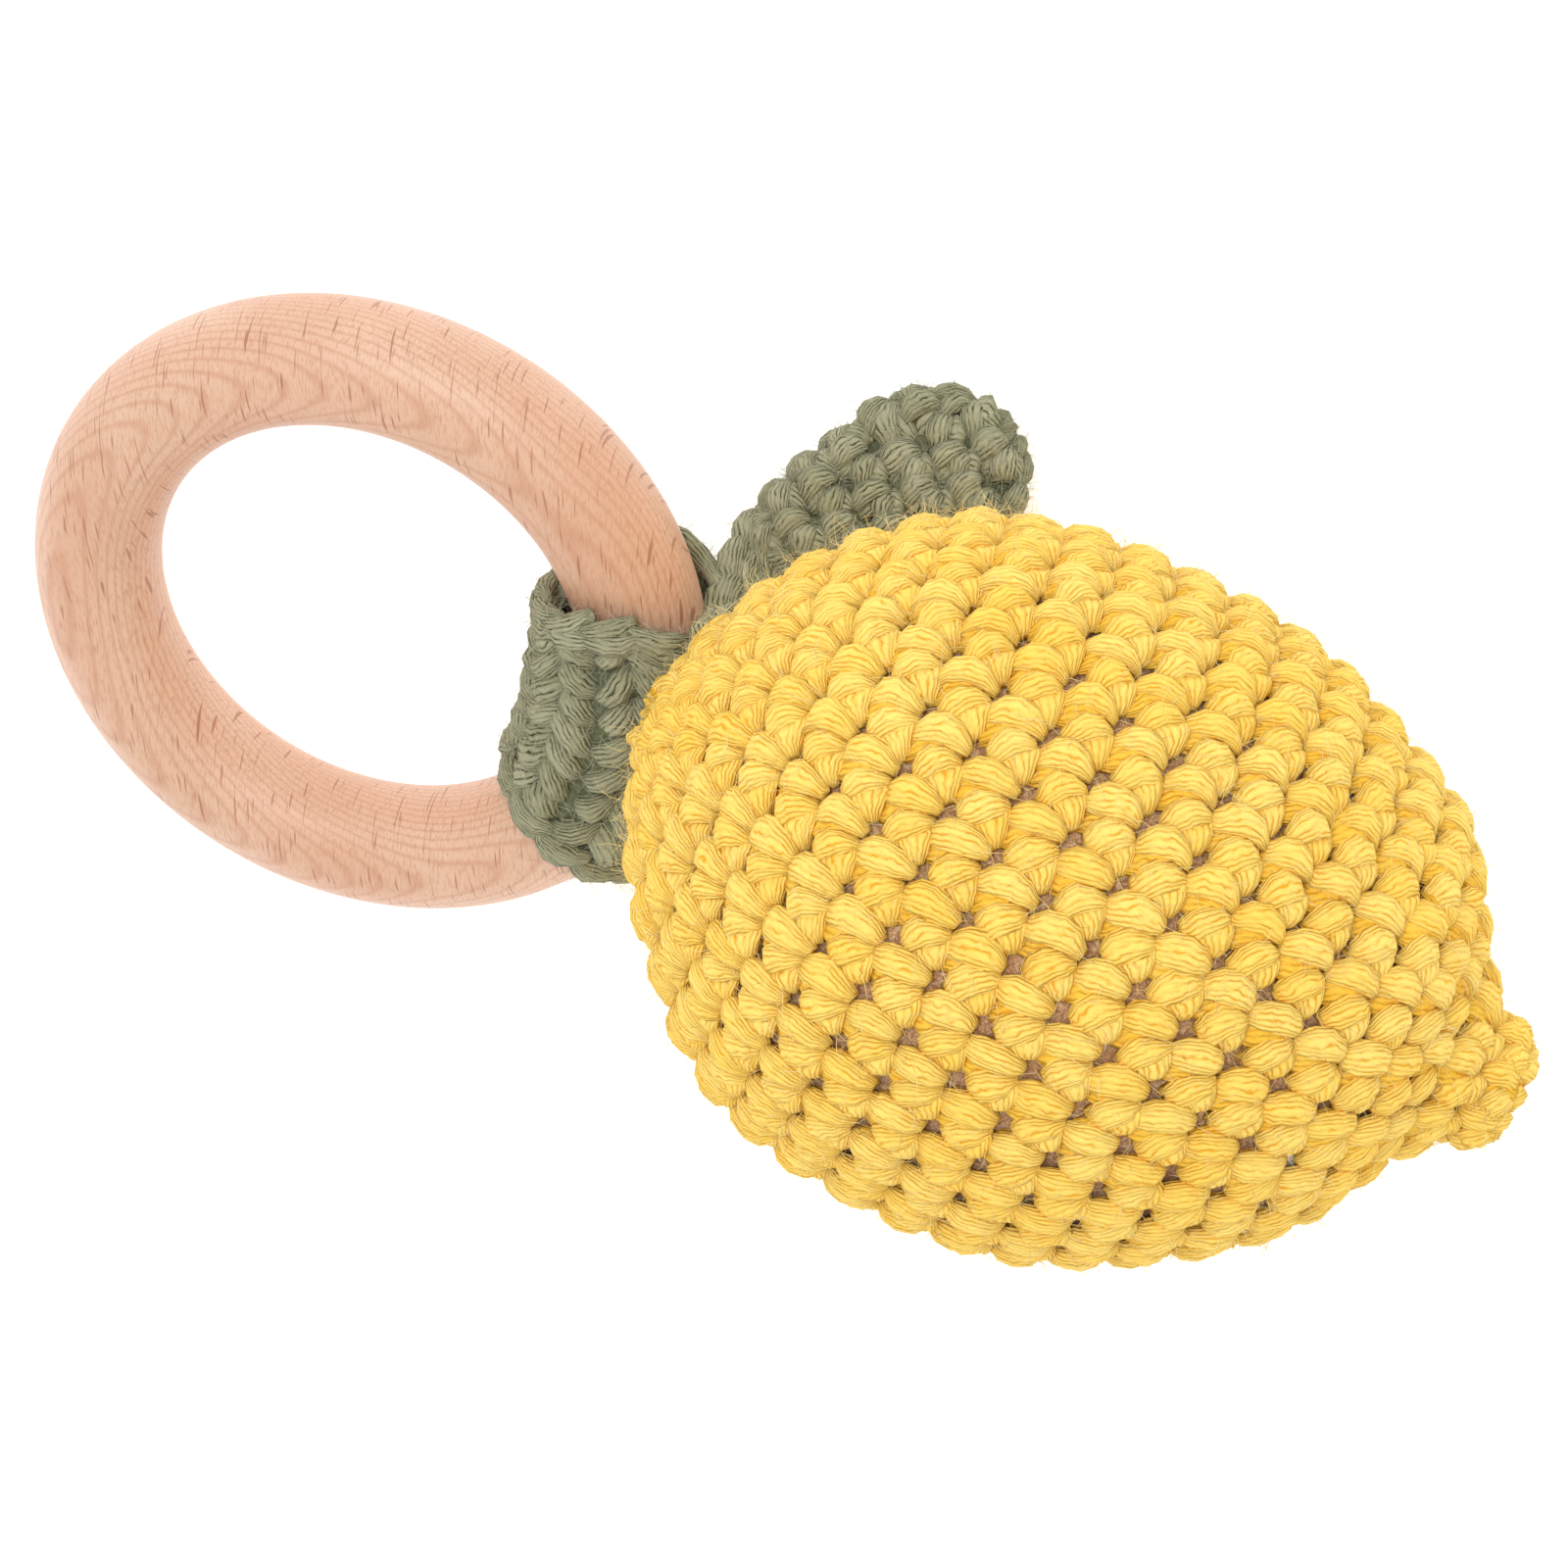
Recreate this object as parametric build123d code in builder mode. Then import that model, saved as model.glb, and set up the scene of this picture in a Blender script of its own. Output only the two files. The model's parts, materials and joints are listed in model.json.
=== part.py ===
from build123d import *
import os
from math import cos, radians, sin

# Baby rattle: a stuffed crochet lemon with a leaf, held to a wooden teething ring by a crochet band.
#
# Millimetres. Z is up from the table. X runs along the lemon, from its crown at the ring to its tip.
# While the pieces are made, the origin is on the table under the lemon's crown; at the end every piece
# is shifted so that the origin is under the middle of the whole rattle.

# Driving dimensions
RING_OUTER_D = 70.0        # wooden teething ring, over all
RING_TUBE_D = 12.7         # thickness of the ring's round section
RING_TILT = 23.7           # degrees the ring's plane leans over about X, its -Y side on the table
RING_CENTRE_X = -30.0
RING_CENTRE_Y = -7.4

YARN_FABRIC = 2.7          # thickness of crochet fabric, yarn over yarn
YARN_D = 1.5               # thickness of one strand of sewing yarn
SOFT_GAP = 0.3             # room between soft pieces that move past each other
LAYER_GAP = 0.1            # room between soft layers that stay together

BAND_INNER_R = 7.2         # the band is a loose sleeve on the ring
BAND_FROM, BAND_TO = -25.0, 35.0   # degrees round the ring that the band covers
BAND_SEAM_TURNS = (64.0, -27.0)    # degrees round the tube from the lemon's side to the two seams
BAND_SEAM_REACH = 6.5      # each seam reaches this far both ways along the band
SEAM_STAND_OFF = 0.4
SWING_ROOM = 1.3           # the dent is this much wider than the band, for the swing
DENT_PAST = 5.0            # degrees that the dent runs past the band's ends
GATHER_R = 2.0             # radius of the yarn ring that closes the crown, and of the tip's first loop
CROWN_GATHER_X = 4.35
CROWN_GATHER_RISE = 3.0    # the crown closes above the axis, because the band pushes in below it
TIP_LOOP_X = 85.6

LEMON_RADIUS = 34.5
LEMON_LENGTH = 91.8
LEMON_OUTLINE = [          # half outline, crown to tip: along the axis, out from the axis
    (0, 0),
    (7.5, 19.5),
    (20, 30.6),
    (39, LEMON_RADIUS),
    (60, 31.4),
    (74, 23.2),
    (83, 12.9),
    (89, 6.2),
    (LEMON_LENGTH, 0),
]

LINING_THICK = 0.6
LINING_START = 5.2         # the lining bag is tied off flat at both ends, beside the yarn rings
LINING_STOP = 84.5
CAPSULE_X = 40.0           # the rattle capsule sits in the lemon's belly
CAPSULE_R = 14.2
CAPSULE_WALL = 1.6
LAP_LENGTH = 2.0           # one capsule half slips this far into the other
LAP_GAP = 0.05
BEAD_D = 5.0
BEAD_COUNT = 6
BEAD_CIRCLE_R = 5.7
BEAD_ROOM = 0.15

LEAF_BASE = (3.3, 12.5, 13.1)      # middle of the leaf's sewn end
LEAF_TIP_CENTRE = (16.5, 29.1, 5.9)   # centre of the leaf's round tip
LEAF_BASE_R = 4.9
LEAF_TIP_R = 9.3
LEAF_THICK = 7.0
LEAF_EDGE_R = 3.0
LEAF_FACING = (0, 0.26, 0.97)      # the way the leaf's broad face looks
LEAF_TO_LEMON = (0.75, -0.3, 0.6)  # the way from the leaf's base to the lemon's skin
LEAF_STITCHES = (-2.2, 0, 2.2)     # places of the sewing stitches across the leaf's end
LEAF_STITCH_LENGTH = 14.0

# Worked out from them
RING_R = (RING_OUTER_D - RING_TUBE_D) / 2
TUBE_R = RING_TUBE_D / 2
BAND_OUTER_R = BAND_INNER_R + YARN_FABRIC
tilt = radians(RING_TILT)
RING_CENTRE = Vector(RING_CENTRE_X, RING_CENTRE_Y, RING_R * sin(tilt) + TUBE_R)
RING_NORMAL = Vector(0, -sin(tilt), cos(tilt))
GRIP_POINT = RING_CENTRE + Vector(RING_R, 0, 0)       # middle of the tube, nearest the lemon
GRIP_TANGENT = Vector(0, cos(tilt), sin(tilt))
RING_AXIS = Axis(RING_CENTRE, RING_NORMAL)
SWING_AXIS = Axis(GRIP_POINT, GRIP_TANGENT)
OUTLINE_CURVE = Spline(*LEMON_OUTLINE, tangents=((0, 1), (0, -1)))
AXIS_HEIGHT = OUTLINE_CURVE.bounding_box().max.Y      # the lemon's belly rests on the table
LEMON_PLANE = Plane(origin=(0, 0, AXIS_HEIGHT), x_dir=(1, 0, 0), z_dir=(0, -1, 0))
LEMON_AXIS = Axis((0, 0, AXIS_HEIGHT), (1, 0, 0))

LEAF_LENGTH = (Vector(*LEAF_TIP_CENTRE) - Vector(*LEAF_BASE)).length
LEAF_ALONG = (Vector(*LEAF_TIP_CENTRE) - Vector(*LEAF_BASE)).normalized()
LEAF_ACROSS = Vector(*LEAF_FACING).cross(LEAF_ALONG).normalized()
LEAF_HINGE_POINT = Vector(*LEAF_BASE)
CAPSULE_CENTRE = Vector(CAPSULE_X, 0, AXIS_HEIGHT)
LEAF_PLANE = Plane(origin=LEAF_BASE, x_dir=LEAF_ALONG, z_dir=LEAF_ALONG.cross(LEAF_ACROSS))


def tube_plane(angle):
    """Plane across the ring's tube, at an angle round the ring from the point nearest the lemon."""
    outward = Vector(1, 0, 0) * cos(radians(angle)) + GRIP_TANGENT * sin(radians(angle))
    return Plane(origin=RING_CENTRE, x_dir=outward, z_dir=outward.cross(RING_NORMAL))


def tube_piece(radius, start=0.0, stop=360.0, mode=Mode.ADD):
    """A stretch of round tube that follows the ring."""
    with BuildSketch(tube_plane(start)) as section:
        with Locations((RING_R, 0)):
            Circle(radius)
    revolve(section.sketch, axis=RING_AXIS, revolution_arc=stop - start, mode=mode)


def lemon_shape(inset, start=0.0, stop=LEMON_LENGTH, mode=Mode.ADD):
    """The lemon's solid of revolution, drawn in by inset all over, between two places on its axis."""
    steps = 10
    drawn_in = []
    for step in range(steps + 1):
        point = OUTLINE_CURVE @ (step / steps)
        along = OUTLINE_CURVE % (step / steps)
        drawn_in.append((point.X + along.Y * inset, max(point.Y - along.X * inset, 0)))
    with BuildSketch(LEMON_PLANE) as section:
        with BuildLine():
            outline = Spline(*drawn_in, tangents=((0, 1), (0, -1)), mode=Mode.PRIVATE)
            add(outline.trim(0, 0.5))
            add(outline.trim(0.5, 1))
            Line(outline @ 1, outline @ 0)
        make_face()
        if (start, stop) != (0.0, LEMON_LENGTH):
            with Locations(((start + stop) / 2, 0)):
                Rectangle(stop - start, 4 * LEMON_RADIUS, mode=Mode.INTERSECT)
    for half in (0, 1):
        turned = section.sketch.rotate(LEMON_AXIS, 90 + 180 * half)
        revolve(turned, axis=LEMON_AXIS, revolution_arc=180, mode=mode)


def dent(room):
    """The hollow that the band presses into the lemon's crown, with room for the ring's swing."""
    dent_r = BAND_OUTER_R + SWING_ROOM + room
    tube_piece(dent_r, BAND_FROM - DENT_PAST, BAND_TO + DENT_PAST, mode=Mode.SUBTRACT)


def leaf_shape(inset, mode=Mode.ADD):
    """The leaf's plump solid, drawn in by inset all over."""
    with BuildSketch(LEAF_PLANE) as outline:
        with Locations((LEAF_BASE_R, 0)):
            Circle(LEAF_BASE_R - inset)
        with Locations((LEAF_LENGTH, 0)):
            Circle(LEAF_TIP_R - inset)
        make_hull()
    return extrude(outline.sketch, amount=LEAF_THICK / 2 - inset, both=True, mode=mode)


# Wooden teething ring
with BuildPart() as wooden_ring:
    tube_piece(TUBE_R)

# Crochet band, a loose sleeve round the ring's tube
with BuildPart() as ring_band:
    tube_piece(BAND_OUTER_R, BAND_FROM, BAND_TO)
    tube_piece(BAND_INNER_R, BAND_FROM - 1, BAND_TO + 1, mode=Mode.SUBTRACT)

# Yarn that gathers the last round at the crown, and the starting loop at the tip, inside the cover
def yarn_ring(x, rise):
    """A small closed ring of yarn across the lemon, at x and so far above its axis."""
    with BuildSketch(LEMON_PLANE) as section:
        with Locations((x, rise + GATHER_R)):
            Circle(YARN_D / 2)
    revolve(section.sketch, axis=Axis((0, 0, AXIS_HEIGHT + rise), (1, 0, 0)))


with BuildPart() as crown_closing_yarn:
    yarn_ring(CROWN_GATHER_X, CROWN_GATHER_RISE)
with BuildPart() as tip_starting_loop:
    yarn_ring(TIP_LOOP_X, 0)

# Sewing yarn that holds the band to the crown, one seam above the band and one below
def band_seams(radius, reach, mode=Mode.ADD):
    """Two lengths of yarn beside the band, reaching the same way up and down from its middle."""
    seam_circle = BAND_OUTER_R + SOFT_GAP + YARN_D / 2 + SEAM_STAND_OFF
    with BuildSketch(Plane(origin=GRIP_POINT, x_dir=(1, 0, 0), z_dir=GRIP_TANGENT)) as sections:
        for turn in BAND_SEAM_TURNS:
            with Locations((seam_circle * cos(radians(turn)), seam_circle * sin(radians(turn)))):
                Circle(radius)
    extrude(sections.sketch, amount=reach, both=True, mode=mode)


with BuildPart() as band_seam_yarn:
    band_seams(YARN_D / 2, BAND_SEAM_REACH)

# Crochet leaf: a hollow cover over a flat wad of filling
with BuildPart() as leaf_cover:
    leaf_shape(0)
    fillet(leaf_cover.faces().filter_by(LEAF_PLANE).edges(), LEAF_EDGE_R)
    leaf_shape(YARN_FABRIC, mode=Mode.SUBTRACT)
with BuildPart() as leaf_filling:
    leaf_shape(YARN_FABRIC + LAYER_GAP)

# Stitches that sew the leaf's end to the crown, cut off where they meet the leaf and the lemon
with BuildPart() as leaf_seam_yarn:
    for across in LEAF_STITCHES:
        start = LEAF_PLANE.from_local_coords((-YARN_D / 2, across, 0))
        with BuildSketch(Plane(origin=start, z_dir=LEAF_TO_LEMON)):
            Circle(YARN_D / 2)
    extrude(amount=LEAF_STITCH_LENGTH)
    leaf_shape(-LAYER_GAP, mode=Mode.SUBTRACT)
    lemon_shape(-LAYER_GAP, mode=Mode.SUBTRACT)

# Crochet cover of the lemon: hollow, with a dent at the crown where the band is sewn on
with BuildPart() as cover_inside:
    lemon_shape(YARN_FABRIC)
    dent(SOFT_GAP + YARN_FABRIC)
with BuildPart() as lemon_cover:
    lemon_shape(0)
    dent(SOFT_GAP)
    band_seams(YARN_D / 2 + LAYER_GAP, BAND_SEAM_REACH + 1, mode=Mode.SUBTRACT)
    add(cover_inside.part, mode=Mode.SUBTRACT)

# Cloth lining bag that keeps the filling in
LINING_INSET = YARN_FABRIC + LAYER_GAP
BAG_INSET = LINING_INSET + LINING_THICK
with BuildPart() as bag_inside:
    lemon_shape(BAG_INSET, LINING_START + LINING_THICK, LINING_STOP - LINING_THICK)
    dent(SOFT_GAP + BAG_INSET)
with BuildPart() as lining_bag:
    lemon_shape(LINING_INSET, LINING_START, LINING_STOP)
    dent(SOFT_GAP + LINING_INSET)
    add(bag_inside.part, mode=Mode.SUBTRACT)


def capsule_pocket():
    """The round hollow in the filling that holds the rattle capsule."""
    with Locations(CAPSULE_CENTRE):
        Sphere(CAPSULE_R + LAYER_GAP, rotation=(0, 90, 0), mode=Mode.SUBTRACT)


# Fibre filling in two wads, one on each side of the rattle capsule
FILLING_INSET = LINING_INSET + LINING_THICK + LAYER_GAP
END_LAYERS = LINING_THICK + LAYER_GAP
with BuildPart() as crown_wad:
    lemon_shape(FILLING_INSET, LINING_START + END_LAYERS, CAPSULE_X - LAYER_GAP)
    dent(SOFT_GAP + FILLING_INSET)
    capsule_pocket()
with BuildPart() as tip_wad:
    lemon_shape(FILLING_INSET, CAPSULE_X, LINING_STOP - END_LAYERS)
    capsule_pocket()

# Rattle capsule: two round halves, one lapping inside the other
CAVITY_R = CAPSULE_R - CAPSULE_WALL
LAP_R = CAPSULE_R - CAPSULE_WALL / 2
CAPSULE_PLANE = Plane(origin=CAPSULE_CENTRE, x_dir=(1, 0, 0), z_dir=(0, -1, 0))
CAPSULE_AXIS = Axis(CAPSULE_CENTRE, (1, 0, 0))
with BuildPart() as capsule_inner_half:
    with BuildSketch(CAPSULE_PLANE):
        with BuildLine():
            outside = CenterArc((0, 0), CAPSULE_R, 90, 90)
            inside = CenterArc((0, 0), CAVITY_R, 90, 90)
            Line(outside @ 1, inside @ 1)
            Polyline(outside @ 0, (0, LAP_R), (LAP_LENGTH, LAP_R), (LAP_LENGTH, CAVITY_R), inside @ 0)
        make_face()
    revolve(axis=CAPSULE_AXIS)
with BuildPart() as capsule_outer_half:
    with BuildSketch(CAPSULE_PLANE):
        with BuildLine():
            outside = CenterArc((0, 0), CAPSULE_R, 0, 90)
            inside = CenterArc((0, 0), CAVITY_R, 0, 90)
            Line(outside @ 0, inside @ 0)
            Line(outside @ 1, inside @ 1)
        make_face()
        with Locations(((LAP_LENGTH + LAP_GAP) / 2, (CAVITY_R + LAP_R + LAP_GAP) / 2)):
            Rectangle(LAP_LENGTH + LAP_GAP, LAP_R + LAP_GAP - CAVITY_R + 1, mode=Mode.SUBTRACT)
    revolve(axis=CAPSULE_AXIS)

# Beads that make the sound, lying on the bottom of the capsule
BEAD_CENTRE_R = CAVITY_R - BEAD_D / 2 - BEAD_ROOM
BEAD_DROP = (BEAD_CENTRE_R ** 2 - BEAD_CIRCLE_R ** 2) ** 0.5
BEAD_TRAVEL = 2 * BEAD_DROP
beads = {}
for number in range(BEAD_COUNT):
    turn = radians(360 / BEAD_COUNT * number)
    place = CAPSULE_CENTRE + Vector(BEAD_CIRCLE_R * cos(turn), BEAD_CIRCLE_R * sin(turn), -BEAD_DROP)
    with BuildPart() as bead:
        with Locations(place):
            Sphere(BEAD_D / 2)
    beads["bead_" + str(number + 1)] = bead.part

# Every piece by its name, shifted so that the origin is under the middle of the rattle
pieces = {
    "wooden_ring": wooden_ring.part,
    "ring_band": ring_band.part,
    "band_seam_yarn": band_seam_yarn.part,
    "leaf_cover": leaf_cover.part,
    "leaf_filling": leaf_filling.part,
    "leaf_seam_yarn": leaf_seam_yarn.part,
    "lemon_cover": lemon_cover.part,
    "crown_closing_yarn": crown_closing_yarn.part,
    "tip_starting_loop": tip_starting_loop.part,
    "lining_bag": lining_bag.part,
    "crown_wad": crown_wad.part,
    "tip_wad": tip_wad.part,
    "capsule_inner_half": capsule_inner_half.part,
    "capsule_outer_half": capsule_outer_half.part,
    **beads,
}
whole = Compound(list(pieces.values())).bounding_box()
SHIFT = Vector(-whole.center().X, -whole.center().Y, -whole.min.Z)
os.makedirs("parts", exist_ok=True)
for name, piece in pieces.items():
    placed = piece.moved(Location(SHIFT))
    placed.label = name
    export_step(placed, "parts/" + name + ".step")
print("size", whole.size, "shift", SHIFT)
print("ring centre", RING_CENTRE + SHIFT, "ring axis", RING_NORMAL)
print("grip point", GRIP_POINT + SHIFT, "swing axis", GRIP_TANGENT)
print("leaf hinge", LEAF_HINGE_POINT + SHIFT, "axis", LEAF_ACROSS)
print("capsule centre", CAPSULE_CENTRE + SHIFT, "bead travel", BEAD_TRAVEL)
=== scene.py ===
# %% [markdown]
# A baby rattle: a crocheted lemon with a leaf, held to a beech teething ring by a crocheted band.
# The CAD model says where every part is and how it moves. This script dresses it: each crocheted skin
# is built stitch by stitch, and each finish is a small shader. We start by loading the CAD frame.

# %% Load the frame
import json
import math
import random

import bpy
import numpy as np
from mathutils import Matrix, Vector, noise
from mathutils.bvhtree import BVHTree


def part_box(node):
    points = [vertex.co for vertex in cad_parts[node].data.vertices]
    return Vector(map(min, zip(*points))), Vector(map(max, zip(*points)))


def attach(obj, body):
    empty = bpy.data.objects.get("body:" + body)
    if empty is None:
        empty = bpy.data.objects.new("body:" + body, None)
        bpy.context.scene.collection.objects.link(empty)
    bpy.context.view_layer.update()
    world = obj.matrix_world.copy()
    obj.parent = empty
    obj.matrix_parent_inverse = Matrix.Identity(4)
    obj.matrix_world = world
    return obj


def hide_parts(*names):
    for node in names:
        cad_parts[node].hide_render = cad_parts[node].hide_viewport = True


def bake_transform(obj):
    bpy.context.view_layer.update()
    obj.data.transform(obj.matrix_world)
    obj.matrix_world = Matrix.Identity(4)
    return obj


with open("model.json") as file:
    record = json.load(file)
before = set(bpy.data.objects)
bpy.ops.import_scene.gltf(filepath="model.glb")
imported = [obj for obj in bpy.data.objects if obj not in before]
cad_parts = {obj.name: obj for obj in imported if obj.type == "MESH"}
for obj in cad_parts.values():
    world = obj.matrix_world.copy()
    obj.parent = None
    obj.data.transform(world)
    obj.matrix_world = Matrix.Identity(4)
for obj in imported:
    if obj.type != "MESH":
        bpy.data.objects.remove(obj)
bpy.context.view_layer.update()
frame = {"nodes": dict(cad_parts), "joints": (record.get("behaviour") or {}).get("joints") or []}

MM = 0.001

# %% [markdown]
# The lemon lies along X. Its axis and its two ends come from the box round its CAD cover, and the ring's
# centre and axis come from the joint on which it spins.

# %% Where the main parts are
lemon_low, lemon_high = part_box("lemon_cover")
LEMON_R = (lemon_high.y - lemon_low.y) / 2
LEMON_AXIS_Y = (lemon_high.y + lemon_low.y) / 2
LEMON_AXIS_Z = lemon_high.z - LEMON_R
CROWN_X, TIP_X = lemon_low.x, lemon_high.x

joints = {joint["name"]: joint for joint in frame["joints"]}
RING_CENTRE = Vector(joints["ring_spin"]["pos_m"])
RING_AXIS = Vector(joints["ring_spin"]["axis"]).normalized()
GRIP = Vector(joints["ring_swing"]["pos_m"])
RING_R = (GRIP - RING_CENTRE).length
RING_SIDE = RING_AXIS.cross(Vector((1, 0, 0))).normalized()
TUBE_R = 6.35 * MM
print("lemon radius", round(LEMON_R / MM, 2), "ring radius", round(RING_R / MM, 2))

# %% [markdown]
# A long lens looks down steeply on the rattle and a little from behind it, with the lemon's tip turned
# down to the right. Building the camera's three axes as vectors keeps its place and its turn together.

# %% Camera
LOOK_DOWN = math.radians(75)
ROLL = math.radians(25.2)
LENS = 104.6
RIGHT_MM, DOWN_MM, AWAY_MM = 41.31, 17.17, 452.7

across_lemon = Vector((0, math.sin(LOOK_DOWN), -math.cos(LOOK_DOWN)))
toward_camera = Vector((0, math.cos(LOOK_DOWN), math.sin(LOOK_DOWN)))
camera_right = math.cos(ROLL) * Vector((1, 0, 0)) + math.sin(ROLL) * across_lemon
camera_up = -math.sin(ROLL) * Vector((1, 0, 0)) + math.cos(ROLL) * across_lemon

camera = bpy.data.objects.new("camera", bpy.data.cameras.new("camera"))
camera.data.lens = LENS
camera.data.sensor_width = 36
camera.data.clip_start = 0.01
turn = Matrix((camera_right, camera_up, toward_camera)).transposed()
place = RING_CENTRE + (RIGHT_MM * camera_right - DOWN_MM * camera_up + AWAY_MM * toward_camera) * MM
camera.matrix_world = Matrix.Translation(place) @ turn.to_4x4()
bpy.context.collection.objects.link(camera)
bpy.context.scene.camera = camera

# %% [markdown]
# Shader maths reads better as sums than as nodes. `Wire` wraps a socket and adds a Math node for each
# operator; `Finish` makes any other node from its type, its settings and its sockets.

# %% Shader helpers
class Wire:
    def __init__(self, finish, socket):
        self.finish = finish
        self.socket = socket

    def sum_of(self, operation, *others):
        inputs = dict(enumerate((self,) + others))
        return self.finish.node("ShaderNodeMath", {"operation": operation}, inputs)

    def __add__(self, other):
        return self.sum_of("ADD", other)

    def __sub__(self, other):
        return self.sum_of("SUBTRACT", other)

    def __mul__(self, other):
        return self.sum_of("MULTIPLY", other)

    def __rsub__(self, other):
        return self.finish.node("ShaderNodeMath", {"operation": "SUBTRACT"}, {0: other, 1: self})

    __radd__ = __add__
    __rmul__ = __mul__

    def sine(self):
        return self.sum_of("SINE")

    def power(self, exponent):
        return self.sum_of("POWER", exponent)

    def between(self, low, high):
        """0 at low, 1 at high, and smooth in between."""
        settings = {"interpolation_type": "SMOOTHSTEP"}
        return self.finish.node("ShaderNodeMapRange", settings, {0: self, 1: low, 2: high})


class Finish:
    def __init__(self, name):
        self.material = bpy.data.materials.new(name)
        self.material.use_nodes = True
        self.tree = self.material.node_tree
        self.tree.nodes.clear()
        self.shader = self.tree.nodes.new("ShaderNodeBsdfPrincipled")
        output = self.tree.nodes.new("ShaderNodeOutputMaterial")
        self.tree.links.new(self.shader.outputs[0], output.inputs[0])

    def fill(self, node, sockets):
        for key, value in sockets.items():
            if isinstance(value, Wire):
                self.tree.links.new(value.socket, node.inputs[key])
            else:
                node.inputs[key].default_value = value

    def node(self, kind, settings=None, sockets=None, output=0):
        node = self.tree.nodes.new(kind)
        for key, value in (settings or {}).items():
            setattr(node, key, value)
        self.fill(node, sockets or {})
        return Wire(self, node.outputs[output])

    def mix(self, factor, first, second, blend="MIX"):
        """First colour at factor 0, second at factor 1."""
        settings = {"data_type": "RGBA", "blend_type": blend}
        return self.node("ShaderNodeMix", settings, {0: factor, 6: first, 7: second}, output=2)

    def noise(self, where, scale, detail=3.0, roughness=0.55, distortion=0.0):
        sockets = {"Vector": where, "Scale": scale, "Detail": detail}
        sockets.update({"Roughness": roughness, "Distortion": distortion})
        return self.node("ShaderNodeTexNoise", None, sockets)

    def here(self):
        return self.node("ShaderNodeTexCoord", output="Object")

    def parts(self, vector):
        """The x, y and z of a vector."""
        split = self.node("ShaderNodeSeparateXYZ", None, {0: vector}).socket.node
        return [Wire(self, socket) for socket in split.outputs]

    def stretched(self, where, scale, turn=(0, 0, 0)):
        """Mapping: each axis of the pattern is turned, then multiplied by scale."""
        sockets = {"Vector": where, "Rotation": turn, "Scale": scale}
        return self.node("ShaderNodeMapping", {"vector_type": "TEXTURE"}, sockets)

    def bump(self, height, strength, distance):
        sockets = {"Height": height, "Strength": strength, "Distance": distance}
        return self.node("ShaderNodeBump", None, sockets)

    def done(self, **sockets):
        names = {key.replace("_", " "): value for key, value in sockets.items()}
        self.fill(self.shader, names)
        return self.material


def colour(red, green, blue):
    """A screen colour from 0 to 255, made linear for the shader."""
    linear = []
    for part in (red, green, blue):
        part = part / 255
        linear.append(part / 12.92 if part < 0.04045 else ((part + 0.055) / 1.055) ** 2.4)
    return (*linear, 1.0)


# %% [markdown]
# Cotton yarn is many thin plies laid side by side with a little twist. Each strand of a stitch carries
# its own map: `ply_map` runs along the strand and round it, so the plies follow every bend. The groove
# between two plies is darker and more saturated, because light bounces inside it.

# %% Yarn
PLIES = 16


def yarn(name, light, deep, groove, contrast=1.0):
    finish = Finish(name)
    ply_map = finish.node("ShaderNodeUVMap", {"uv_map": "ply_map"})
    along, around, _ = finish.parts(ply_map)
    shade = finish.node("ShaderNodeAttribute", {"attribute_name": "shade"}, output="Fac")
    here = finish.here()
    wander = finish.noise(here, 260.0, 2.0)
    wobble = finish.noise(here, 1100.0, 1.0)
    turns = around * PLIES + along * 1.6 + wander * 2.4 + wobble * 0.7 + shade * 5.0
    ply = (turns * (2 * math.pi)).sine() * 0.5 + 0.5
    combed = finish.node("ShaderNodeCombineXYZ", None, {0: along * 5.0, 1: around * 95.0, 2: shade * 40.0})
    streak = finish.noise(combed, 1.0, 2.0, 0.6)
    strand = finish.noise(here, 2600.0, 3.0, 0.65)
    cloud = finish.noise(here, 60.0, 2.0)
    tone = finish.mix((shade * 0.3 + cloud * 0.25 + 0.3).between(0.1, 0.8), deep, light)
    depth = finish.noise(here, 700.0, 1.0).between(0.35, 0.65)
    grooved = finish.mix((1 - ply).power(5.0) * (depth * 0.75 + 0.15) * contrast, tone, groove)
    # Streaks along the strand are fibre texture, darkened with the groove's colour as painted shade between
    # the fibres.
    fibres = finish.mix(streak.between(0.32, 0.50), groove, grooved)
    coloured = finish.mix(0.30 * contrast, grooved, fibres)
    height = ply.power(0.6) * 0.8 + streak * 0.35 + strand * 0.2
    return finish.done(
        Base_Color=coloured,
        Roughness=strand * 0.25 + 0.68,
        Normal=finish.bump(height, 0.75, 0.00026),
        Specular_IOR_Level=0.08,
        Sheen_Weight=0.15,
        Sheen_Roughness=0.5,
        Sheen_Tint=light,
    )


yellow_yarn = yarn("yellow_yarn", colour(255, 222, 120), colour(252, 206, 80), colour(222, 150, 0))
# The strands below get a darker, more orange copy of the yellow yarn: painted shade, because they lie deep
# under the others.
yellow_depth = yarn("yellow_depth", colour(246, 202, 80), colour(238, 184, 56), colour(208, 140, 16))
sage_yarn = yarn("sage_yarn", colour(172, 171, 142), colour(144, 144, 112), colour(56, 58, 34), 1.2)

# %% [markdown]
# Stray fibres stand off the yarn as a pale fuzz.

# %% Fuzz
def fuzz_finish(name, tone, tip):
    finish = Finish(name)
    spread = finish.noise(finish.here(), 300.0, 1.0)
    return finish.done(Base_Color=finish.mix(spread, tone, tip), Roughness=0.8, Sheen_Weight=0.2)


yellow_fuzz = fuzz_finish("yellow_fuzz", colour(248, 214, 120), colour(255, 238, 180))
sage_fuzz = fuzz_finish("sage_fuzz", colour(160, 160, 128), colour(214, 212, 186))

# %% [markdown]
# Beech is pale and pinkish. Two things make it look like beech: short dark flecks, which are the ends of
# its rays, and faint growth lines. Both belong to the board that the ring was turned from, so they are
# solid patterns that run in one direction through the ring, and not round it.

# %% Beech
GRAIN_TURN = math.radians(25)


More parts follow.
